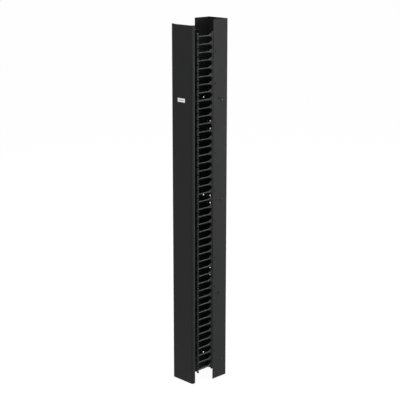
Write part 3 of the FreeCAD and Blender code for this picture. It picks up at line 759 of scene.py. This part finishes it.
class MESH_OT_cm_finger_strips(bpy.types.Operator):
    """Mould the ten finger strips with rounded edges and filleted roots"""

    bl_idname = "mesh.cm_finger_strips"
    bl_label = "Finger strips"

    def execute(self, context):
        settings = context.scene.cm_fingers
        plastic = material("finger_plastic", settings)
        for side in SIDES:
            for number_up in range(1, STRIPS + 1):
                node = f"finger_strip_{side}_{number_up}"
                low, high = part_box(node)
                middle = (low.z + high.z) / 2
                tops = middle + BEAM_LIFT + (np.arange(FINGERS) - (FINGERS - 1) / 2) * RACK_UNIT
                outline = strip_outline(low.z, high.z, tops, settings.fillet)
                comb = plate(outline, low.x, high.x, settings.edge_round)
                outer = channel_high.x - CHANNEL_SHEET
                inner = outer - FLANGE_THICK
                span = (inner, outer) if side == "right" else (-outer, -inner)
                front = WALL_FRONT - FLANGE_OVERLAP
                flange_outline = rounded_rectangle((front, low.z), (high.y, high.z), FLANGE_CORNER)
                flange = plate(flange_outline, *span, FLANGE_EDGE)
                made = closed_mesh(f"moulded_strip_{side}_{number_up}", *joined([comb, flange]))
                place(made, plastic, "frame", "finger_plastic", (node,))
        return {"FINISHED"}


# Channel, arms and the other packed sheet-metal nodes

class MESH_OT_cm_steelwork(bpy.types.Operator):
    """Paint the channel, the hinge arms, the catch arms and the pin brackets"""

    bl_idname = "mesh.cm_steelwork"
    bl_label = "Channel and arms"

    def execute(self, context):
        paint = material("powder_coat", context.scene.cm_sheet)
        dress("channel_body", paint)
        for where in ENDS:
            for kind in ("hinge_arm", "catch_arm", "pin_bracket"):
                dress(f"{kind}_{where}", paint)
        return {"FINISHED"}


# Door

DOOR_SHEET = 1.5 * MM
DOOR_CORNER = 11.0 * MM
BEND_STEPS = 24
FACE_COLUMNS = 13
NOTCH_CLEAR = 12.0 * MM
NOTCH_DEPTH = 13.0 * MM
HEM_ANGLE = math.radians(50.0)
NO_LENGTH = 1e-9


class MESH_OT_cm_door(bpy.types.Operator):
    """Bend the door from one sheet, with its return flanges and hinge notches"""

    bl_idname = "mesh.cm_door"
    bl_label = "Door"

    def execute(self, context):
        settings = context.scene.cm_sheet
        # The profile, two flanges, two quarter circles and a flat face, is carried straight up
        # through the levels. The faces between a notch's two levels are left out.
        half, front, rear = door_high.x, door_low.y, door_high.y
        turn = half - DOOR_CORNER
        back = front + DOOR_CORNER
        notch = rear - NOTCH_DEPTH
        notch_angle = 180.0 + math.degrees(math.asin(max(0.0, (back - notch) / DOOR_CORNER)))
        left = arc((-turn, back), DOOR_CORNER, 180.0, 270.0, BEND_STEPS)
        right = arc((turn, back), DOOR_CORNER, 270.0, 360.0, BEND_STEPS)
        cut = arc((-turn, back), DOOR_CORNER, notch_angle, notch_angle, 1)[:1]
        behind, before = left[:, 1] > notch + NO_LENGTH, left[:, 1] < notch - NO_LENGTH
        bend = np.concatenate([left[behind], cut, left[before]])
        across = np.linspace(-turn, turn, FACE_COLUMNS)[1:-1]
        face = np.column_stack([across, np.full(len(across), front)])
        flange_left = np.array([[-half, rear], [-half, (rear + back) / 2]])
        flange_right = np.array([[half, (rear + back) / 2], [half, rear]])
        profile = np.concatenate([flange_left, bend, face, right, flange_right])
        levels = [door_low.z, door_high.z]
        for where in ENDS:
            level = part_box(f"hinge_pin_{where}")[0].z + PIN_TIP
            levels += [level - NOTCH_CLEAR, level + NOTCH_CLEAR]
        levels = np.array(sorted(levels))
        columns, rows = len(profile), len(levels)
        vertices = np.empty((rows, columns, 3))
        vertices[..., :2] = profile[None]
        vertices[..., 2] = levels[:, None]
        row, column = np.meshgrid(np.arange(rows - 1), np.arange(columns - 1), indexing="ij")
        # The profile is open, so the faces that would close it are dropped.
        quads = ring_quads(rows, columns).reshape(rows - 1, columns, 4)[:, :-1]
        in_notch = (row % 2 == 1) & (profile[column, 0] < 0) & (profile[column + 1, 0] < -turn)
        in_notch &= profile[column + 1, 1] >= notch - NO_LENGTH
        made = closed_mesh("door_sheet", vertices.reshape(-1, 3), quads[~in_notch])
        fold = made.modifiers.new("Sheet", "SOLIDIFY")
        fold.thickness = DOOR_SHEET
        fold.offset = -1.0
        ease = made.modifiers.new("Cut edges", "BEVEL")
        ease.width = settings.hem
        ease.segments = 2
        ease.limit_method = "ANGLE"
        ease.angle_limit = HEM_ANGLE
        place(made, material("powder_coat", settings), "door", "door_paint", ("door_panel",))
        return {"FINISHED"}


class MESH_OT_cm_label(bpy.types.Operator):
    """Lay the bare label with its rounded corners on the door"""

    bl_idname = "mesh.cm_label"
    bl_label = "Label"

    def execute(self, context):
        low, high = label_box()
        outline = rounded_rectangle((low.x, low.z), (high.x, high.z), LABEL_CORNER)
        vertices, quads, caps = plate(outline, low.y, high.y, LABEL_EDGE)
        vertices = vertices[:, [1, 0, 2]]
        quads = quads[:, ::-1]
        caps = [cap[::-1] for cap in caps]
        made = closed_mesh("label_film", vertices, quads, caps)
        place(made, material("label_face"), "door", "label_white", ("label_plate",))
        return {"FINISHED"}


# Hinge pins, springs and bushes

PIN_TIP = 8.5 * MM
PIN_RADIUS = 2.5 * MM
COLLAR_RADIUS = 4.2 * MM
COLLAR_THICK = 2.0 * MM
COLLAR_BEVEL = 0.3 * MM
KNOB_RADIUS = 6.0 * MM
KNOB_HEIGHT = 8.0 * MM
KNOB_BEVEL = 0.6 * MM
GROOVE_HALF = 1.0 * MM
GROOVE_DEPTH = 0.7 * MM
SPRING_RADIUS = 4.0 * MM
# The share of a turn that lies flat at each end of a spring.
FLAT_TURN = 0.8
WIRE_SIDES = 10
STEPS_PER_TURN = 20


def pin_profile(length, collar):
    """Radius and height of a pull pin from its bevelled tip to its grooved knob."""
    top = collar + COLLAR_THICK
    knob = length - KNOB_HEIGHT
    groove = knob + KNOB_HEIGHT / 2
    return [
        (PIN_RADIUS - 2 * KNOB_BEVEL, 0.0),
        (PIN_RADIUS, 2 * KNOB_BEVEL),
        (PIN_RADIUS, collar),
        (COLLAR_RADIUS - COLLAR_BEVEL, collar),
        (COLLAR_RADIUS, collar + COLLAR_BEVEL),
        (COLLAR_RADIUS, top - COLLAR_BEVEL),
        (COLLAR_RADIUS - COLLAR_BEVEL, top),
        (PIN_RADIUS, top),
        (PIN_RADIUS, knob),
        (KNOB_RADIUS - KNOB_BEVEL, knob),
        (KNOB_RADIUS, knob + KNOB_BEVEL),
        (KNOB_RADIUS, groove - GROOVE_HALF),
        (KNOB_RADIUS - GROOVE_DEPTH, groove - GROOVE_HALF / 2),
        (KNOB_RADIUS - GROOVE_DEPTH, groove + GROOVE_HALF / 2),
        (KNOB_RADIUS, groove + GROOVE_HALF),
        (KNOB_RADIUS, length - KNOB_BEVEL),
        (KNOB_RADIUS - KNOB_BEVEL, length),
    ]


def coil(centre, low, high, radius, wire, turns):
    """A coil spring: a round wire carried along a helix whose last turn at each end lies flat.

    At share s of the wire the helix stands at angle 2 pi s turns. It climbs by one wire over
    each end's flat turn, and evenly between them. The wire's section is a circle square to it.
    """
    around, along = WIRE_SIDES, int(turns * STEPS_PER_TURN)
    share = np.linspace(0.0, 1.0, along + 1)
    angle = 2 * math.pi * turns * share
    dead = FLAT_TURN / turns
    climb = np.clip((share - dead) / (1 - 2 * dead), 0.0, 1.0)
    pitch_run = high - low - 3 * wire
    height = low + wire / 2 + wire * np.clip(share / dead, 0, 1) + pitch_run * climb
    height += wire * np.clip((share - 1 + dead) / dead, 0, 1)
    line = np.stack([radius * np.cos(angle), radius * np.sin(angle), height], axis=-1)
    tangent = np.gradient(line, axis=0)
    tangent /= np.linalg.norm(tangent, axis=1)[:, None]
    outward = np.stack([np.cos(angle), np.sin(angle), np.zeros_like(angle)], axis=-1)
    upward = np.cross(tangent, outward)
    upward /= np.linalg.norm(upward, axis=1)[:, None]
    turn = np.linspace(0.0, 2 * math.pi, around, endpoint=False)
    ring = np.cos(turn)[None, :, None] * outward[:, None] + np.sin(turn)[None, :, None] * upward[:, None]
    vertices = (line[:, None] + ring * wire / 2).reshape(-1, 3) + np.array([*centre, 0.0])
    quads = ring_quads(along + 1, around)
    last = along * around
    caps = [np.arange(around)[::-1], last + np.arange(around)]
    return vertices, quads, caps


class MESH_OT_cm_hinge_pins(bpy.types.Operator):
    """Turn the spring-loaded hinge pins and wind their springs"""

    bl_idname = "mesh.cm_hinge_pins"
    bl_label = "Hinge pins and springs"

    def execute(self, context):
        settings = context.scene.cm_hardware
        for where in ENDS:
            node = f"hinge_pin_{where}"
            spring_node = f"hinge_pin_spring_{where}"
            low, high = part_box(node)
            spring_low, spring_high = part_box(spring_node)
            collar = spring_low.z - COLLAR_THICK - low.z
            profile = pin_profile(high.z - low.z, collar)
            pin = turned(profile, (HINGE_X, HINGE_Y, low.z), "z", 1.0, MOST_FACES)
            made = closed_mesh(f"pull_pin_{where}", *pin)
            place(made, material("zinc_plate"), node, "zinc_steel", (node,))
            wound = coil(
                (HINGE_X, HINGE_Y),
                spring_low.z,
                spring_high.z,
                SPRING_RADIUS - settings.spring_wire / 2,
                settings.spring_wire,
                settings.spring_turns,
            )
            spring = closed_mesh(f"coil_spring_{where}", *wound)
            place(spring, material("spring_steel"), "door", "zinc_steel", (spring_node,))
            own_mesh(spring)
            dress(f"hinge_bush_{where}", material("plain_nylon"))
        return {"FINISHED"}


# Rivets, screws, bolts and nuts

RIVET_HEAD = 4.6 * MM
RIVET_SHANK = 2.4 * MM
RIVET_LINE = WALL_FRONT + 15.0 * MM
RIVET_FINGERS = (2, 6)
ARM_RIVET_LINES = (WALL_FRONT + 40.0 * MM, WALL_FRONT + 77.0 * MM)
ARM_RIVET_RISE = 22.0 * MM
CATCH_RIVET_LINES = (WALL_FRONT + 40.0 * MM, WALL_FRONT + 50.0 * MM)
RIVET_TAIL = 0.5 * MM
TAIL_SHARE = 0.7
RIVET_HOLLOW = 0.5 * MM
HOLLOW_SHARE = 0.9
BOLT_HEAD = 7.0 * MM
BOLT_RADIUS = 4.0 * MM
BOLT_PLAIN = 2.0 * MM
BOLT_SOCKET = 2.25 * MM
BOLT_SOCKET_DEPTH = 2.4 * MM
BOLT_END = 0.8 * MM
HEAD_FOOT = 0.2 * MM
SOCKET_RIM = 0.5 * MM
NUT_FLAT = 6.4 * MM
NUT_BEVEL = 0.7 * MM
NUT_RIM = 0.2 * MM
NUT_MOUTH = 0.5 * MM
THREAD_PITCH = 1.25 * MM
THREAD_DEPTH = 0.6 * MM
THREAD_STOP = 1.0 * MM
DOME_RINGS = 6
CROWN_RINGS = 7
RIM_SHARE = 0.15
CROWN_SHARE = 0.86


def middle_of(node):
    """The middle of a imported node's box."""
    low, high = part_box(node)
    return (low + high) / 2


def rivet_rows():
    """Every row of rivets: its node, its side and the places of its rivets."""
    rows = []
    for side in SIDES:
        levels = []
        for number_up in range(1, STRIPS + 1):
            middle = middle_of(f"finger_strip_{side}_{number_up}").z
            levels += [middle + (finger - (FINGERS - 1) / 2) * RACK_UNIT for finger in RIVET_FINGERS]
        rows.append((f"strip_rivets_{side}", side, [(RIVET_LINE, level) for level in levels]))
    for where in ENDS:
        level = middle_of(f"hinge_arm_{where}").z
        places = [(y, level + rise) for y in ARM_RIVET_LINES for rise in (-ARM_RIVET_RISE, ARM_RIVET_RISE)]
        rows.append((f"hinge_arm_rivets_{where}", "left", places))
        level = middle_of(f"catch_arm_{where}").z
        rows.append((f"catch_arm_rivets_{where}", "right", [(y, level) for y in CATCH_RIVET_LINES]))
    return rows


def rivet_profile(dome, rim=0.35 * MM, stem=1.2 * MM):
    """Radius and height of a domed rivet head with the small hollow of its broken stem.

    The dome's height over its rim follows h (1 - (r/R)^2).
    """
    share = np.linspace(1.0, stem / RIVET_HEAD, DOME_RINGS)
    outer = [(RIVET_HEAD * value, rim + (dome - rim) * (1 - value ** 2)) for value in share]
    return [(RIVET_HEAD, 0.0)] + outer + [(stem * HOLLOW_SHARE, outer[-1][1] - RIVET_HOLLOW)]


class MESH_OT_cm_rivets(bpy.types.Operator):
    """Set domed blind rivets along the walls"""

    bl_idname = "mesh.cm_rivets"
    bl_label = "Rivets"

    def execute(self, context):
        head = rivet_profile(context.scene.cm_hardware.rivet_dome)
        black = material("rivet_black")
        for node, side, places in rivet_rows():
            outward = 1.0 if side == "right" else -1.0
            wall = outward * channel_high.x
            low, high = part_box(node)
            length = wall - low.x if side == "right" else high.x - wall
            tail = (RIVET_SHANK * TAIL_SHARE, length)
            shank = [(RIVET_SHANK, 0.0), (RIVET_SHANK, length - RIVET_TAIL), tail]
            parts = []
            for y, z in places:
                parts.append(turned(head, (wall, y, z), "x", outward, FEW_FACES))
                parts.append(turned(shank, (wall, y, z), "x", -outward, FEW_FACES))
            made = closed_mesh(f"domed_{node}", *joined(parts))
            place(made, black, "frame", "rivet_black", (node,))
        return {"FINISHED"}


def button_head(radius, height, socket, depth):
    """Radius, height and six-sided rows of a button head with a hexagonal socket.

    The crown's radius falls as sqrt(1 - u^2), with u going evenly up to CROWN_SHARE, where
    about half of the radius is left.
    """
    rim = RIM_SHARE * height
    share = np.linspace(0.0, CROWN_SHARE, CROWN_RINGS)
    rises = rim + (height - rim) * share / CROWN_SHARE
    crown = [(radius * math.sqrt(1 - value ** 2), rise) for value, rise in zip(share, rises)]
    rows = [(radius - HEAD_FOOT, 0.0)] + crown + [(socket + SOCKET_RIM, height)]
    sides = [(socket, height), (socket, height - depth)]
    return rows + sides, [0] * len(rows) + [1, 1]


def threaded(radius, plain, length):
    """Radius and height of a screw: plain, then a saw-toothed thread, then a bevelled end."""
    rows = [(radius, 0.0), (radius, plain)]
    turns = int((length - plain - THREAD_STOP) / THREAD_PITCH)
    for turn in range(turns):
        start = plain + turn * THREAD_PITCH
        rows += [(radius - THREAD_DEPTH, start + THREAD_PITCH / 2), (radius, start + THREAD_PITCH)]
    return rows + [(radius, length - BOLT_END), (radius - BOLT_END, length)]


class MESH_OT_cm_bolts(bpy.types.Operator):
    """Fit the button-head bolts of the right-hand wall and their nuts"""

    bl_idname = "mesh.cm_bolts"
    bl_label = "Side bolts and nuts"

    def execute(self, context):
        low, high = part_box("side_bolts")
        wall = channel_high.x
        rows, sides = button_head(BOLT_HEAD, high.x - wall, BOLT_SOCKET, BOLT_SOCKET_DEPTH)
        shank = threaded(BOLT_RADIUS, BOLT_PLAIN, wall - low.x)
        nut_low, nut_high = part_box("side_nuts")
        deep = nut_high.x - nut_low.x
        nut = [(NUT_FLAT - NUT_RIM, 0.0), (NUT_FLAT, NUT_BEVEL), (NUT_FLAT, deep - NUT_BEVEL)]
        nut += [(NUT_FLAT - NUT_RIM, deep), (BOLT_RADIUS + NUT_MOUTH, deep), (BOLT_RADIUS, deep - NUT_MOUTH)]
        nut_sides = [0, 1, 1, 0, 0, 0]
        y = (low.y + high.y) / 2
        levels = (low.z + BOLT_HEAD, SIDE_HOLE_MIDDLE, high.z - BOLT_HEAD)
        bolts, nuts = [], []
        for z in levels:
            bolts.append(turned(rows, (wall, y, z), "x", 1.0, MOST_FACES, sides))
            bolts.append(turned(shank, (wall, y, z), "x", -1.0))
            nuts.append(turned(nut, (nut_high.x, y, z), "x", -1.0, MOST_FACES, nut_sides))
        made = closed_mesh("button_head_bolts", *joined(bolts))
        place(made, material("bolt_black"), "frame", "bolt_black", ("side_bolts",))
        made = closed_mesh("hexagon_nuts", *joined(nuts))
        place(made, material("zinc_plate"), "frame", "zinc_steel", ("side_nuts",))
        return {"FINISHED"}


# Magnet catches

POLE_PROUD = 1.0 * MM
POLE_THICK = 2.0 * MM
POLE_SPREAD = 5.0 * MM
POLE_DEPTH = 3.0 * MM
POLE_INSET = 1.5 * MM
POLE_CORNER = 0.3 * MM
POLE_EDGE = 0.2 * MM
CASE_CORNER = 1.5 * MM
CASE_EDGE = 0.8 * MM
SCREW_HEAD = 3.8 * MM
SCREW_RADIUS = 2.0 * MM
SCREW_SOCKET = 1.4 * MM
SCREW_SOCKET_DEPTH = 1.1 * MM


def block(low, high, corner, edge_round):
    """A box with rounded corners in its (y, z) face and rounded edges along them."""
    outline = rounded_rectangle((low[1], low[2]), (high[1], high[2]), corner)
    return plate(outline, low[0], high[0], edge_round)


class MESH_OT_cm_catches(bpy.types.Operator):
    """Build the magnet catches with their pole plates and screws"""

    bl_idname = "mesh.cm_catches"
    bl_label = "Magnet catches"

    def execute(self, context):
        screws = []
        screw_low, screw_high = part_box("catch_screws")
        for where in ENDS:
            node = f"catch_magnet_{where}"
            low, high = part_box(node)
            middle = (low + high) / 2
            case = block((low.x, low.y + POLE_PROUD, low.z), high, CASE_CORNER, CASE_EDGE)
            made = closed_mesh(f"magnet_case_{where}", *case)
            place(made, material("magnet_case"), "frame", "magnet_case", (node,))
            poles = []
            for side in (-1, 1):
                x = middle.x + side * POLE_SPREAD
                start = (x - POLE_THICK / 2, low.y, low.z + POLE_INSET)
                end = (x + POLE_THICK / 2, low.y + POLE_DEPTH, high.z - POLE_INSET)
                poles.append(block(start, end, POLE_CORNER, POLE_EDGE))
            made = closed_mesh(f"magnet_poles_{where}", *joined(poles))
            place(made, material("zinc_plate"), "frame", "zinc_steel")
            back = high.y + ARM_PLATE
            height = screw_high.y - back
            rows, sides = button_head(SCREW_HEAD, height, SCREW_SOCKET, SCREW_SOCKET_DEPTH)
            centre = (middle.x, back, middle.z)
            screws.append(turned(rows, centre, "y", 1.0, MORE_FACES, sides))
            shank = [(SCREW_RADIUS, 0.0), (SCREW_RADIUS, back - screw_low.y)]
            screws.append(turned(shank, centre, "y", -1.0, FEW_FACES))
        made = closed_mesh("catch_button_screws", *joined(screws))
        place(made, material("zinc_plate"), "frame", "zinc_steel", ("catch_screws",))
        return {"FINISHED"}


# Floor, light and camera

FLOOR_HALF = 40.0
FLOOR_GREY = (0.9, 0.9, 0.9, 1.0)
# The share of the floor's look that is plain white, and that white's strength.
FLOOR_GLOW = 0.92
GLOW_STRENGTH = 1.04
WHITE = (1.0, 1.0, 1.0, 1.0)
# The size and place of each lamp, and the point that all of them look at.
SIDE_LAMP = (3.0, (4.2, 3.6, 1.7))
FRONT_LAMP = (4.0, (1.0, -6.8, 4.0))
TOP_LAMP = (2.5, (0.8, 0.3, 5.5))
LAMP_AIM = (0.0, 0.0, 1.1)


def lamp(name, power, size, place_at):
    """A square soft lamp that looks at the middle of the object."""
    light = bpy.data.lights.new(name, "AREA")
    light.energy = power
    light.shape = "SQUARE"
    light.size = size
    made = bpy.data.objects.new(name, light)
    made.location = place_at
    made.rotation_euler = (Vector(LAMP_AIM) - Vector(place_at)).to_track_quat("-Z", "Y").to_euler()
    bpy.context.scene.collection.objects.link(made)


def seen_directly(tree):
    """A value of 1 for rays from the camera, off gloss and through glass, and of 0 for others."""
    path = tree.nodes.new("ShaderNodeLightPath")
    total = path.outputs["Is Camera Ray"]
    for label in ("Is Glossy Ray", "Is Transmission Ray"):
        total = calculated(tree, "MAXIMUM", total, path.outputs[label])
    return total


def floor_finish():
    """A white floor that looks as bright as the backdrop and keeps a soft shadow."""
    made = bpy.data.materials.new("white_floor")
    made.use_nodes = True
    tree = made.node_tree
    surface = tree.nodes["Principled BSDF"]
    surface.inputs["Base Color"].default_value = FLOOR_GREY
    surface.inputs["Roughness"].default_value = 0.9
    surface.inputs["Specular IOR Level"].default_value = 0.0
    glow = tree.nodes.new("ShaderNodeEmission")
    glow.inputs["Strength"].default_value = GLOW_STRENGTH
    mix = tree.nodes.new("ShaderNodeMixShader")
    share = calculated(tree, "MULTIPLY", seen_directly(tree), FLOOR_GLOW)
    tree.links.new(share, mix.inputs["Fac"])
    tree.links.new(surface.outputs["BSDF"], mix.inputs[1])
    tree.links.new(glow.outputs["Emission"], mix.inputs[2])
    tree.links.new(mix.outputs["Shader"], tree.nodes["Material Output"].inputs["Surface"])
    return made


class SCENE_OT_cm_stage(bpy.types.Operator):
    """Set the floor, the lamps, the white surroundings and the camera"""

    bl_idname = "scene.cm_stage"
    bl_label = "Stage"

    def execute(self, context):
        settings = context.scene.cm_stage
        half = FLOOR_HALF
        corners = np.array([[-half, -half, 0], [half, -half, 0], [half, half, 0], [-half, half, 0]])
        floor = closed_mesh("floor", corners, [[0, 1, 2, 3]])
        floor.data.materials.append(floor_finish())
        world = bpy.data.worlds.new("white_room")
        world.use_nodes = True
        tree = world.node_tree
        room = tree.nodes["Background"]
        room.inputs["Strength"].default_value = settings.world_level
        white = tree.nodes.new("ShaderNodeBackground")
        for background in (room, white):
            background.inputs["Color"].default_value = WHITE
        mix = tree.nodes.new("ShaderNodeMixShader")
        tree.links.new(seen_directly(tree), mix.inputs["Fac"])
        tree.links.new(room.outputs["Background"], mix.inputs[1])
        tree.links.new(white.outputs["Background"], mix.inputs[2])
        tree.links.new(mix.outputs["Shader"], tree.nodes["World Output"].inputs["Surface"])
        context.scene.world = world
        context.scene.view_settings.view_transform = "Standard"
        lamp("side", settings.key_power, *SIDE_LAMP)
        lamp("front", settings.fill_power, *FRONT_LAMP)
        lamp("top", settings.top_power, *TOP_LAMP)
        lens = bpy.data.cameras.new("camera")
        lens.lens = settings.lens
        camera = bpy.data.objects.new("camera", lens)
        camera.location = settings.camera_place
        camera.rotation_euler = (math.pi / 2 - settings.camera_tilt, 0.0, settings.camera_turn)
        context.scene.collection.objects.link(camera)
        context.scene.camera = camera
        return {"FINISHED"}


# Add-on

OPERATORS = (
    MESH_OT_cm_steelwork,
    MESH_OT_cm_finger_strips,
    MESH_OT_cm_door,
    MESH_OT_cm_label,
    MESH_OT_cm_hinge_pins,
    MESH_OT_cm_rivets,
    MESH_OT_cm_bolts,
    MESH_OT_cm_catches,
    SCENE_OT_cm_stage,
)
SETTINGS = {
    "cm_fingers": FingerSettings,
    "cm_sheet": SheetSettings,
    "cm_hardware": HardwareSettings,
    "cm_stage": StageSettings,
}


class VIEW3D_PT_cable_manager(bpy.types.Panel):
    """Settings and builders of the cable manager."""

    bl_label = "Cable manager"
    bl_idname = "VIEW3D_PT_cable_manager"
    bl_space_type = "VIEW_3D"
    bl_region_type = "UI"
    bl_category = "Cable manager"

    def draw(self, context):
        for name, group in SETTINGS.items():
            box = self.layout.box()
            for label in group.__annotations__:
                box.prop(getattr(context.scene, name), label)
        for operator in OPERATORS:
            self.layout.operator(operator.bl_idname)


CLASSES = (*SETTINGS.values(), *OPERATORS, VIEW3D_PT_cable_manager)


def register():
    """Make the settings, the operators and the panel known."""
    for item in CLASSES:
        bpy.utils.register_class(item)
    for name, group in SETTINGS.items():
        setattr(bpy.types.Scene, name, bpy.props.PointerProperty(type=group))


def unregister():
    """Take the settings, the operators and the panel away again."""
    for name in SETTINGS:
        delattr(bpy.types.Scene, name)
    for item in reversed(CLASSES):
        bpy.utils.unregister_class(item)


def main():
    """Build every piece."""
    register()
    for operator in OPERATORS:
        family, name = operator.bl_idname.split(".")
        getattr(getattr(bpy.ops, family), name)()


if __name__ == "__main__":
    main()
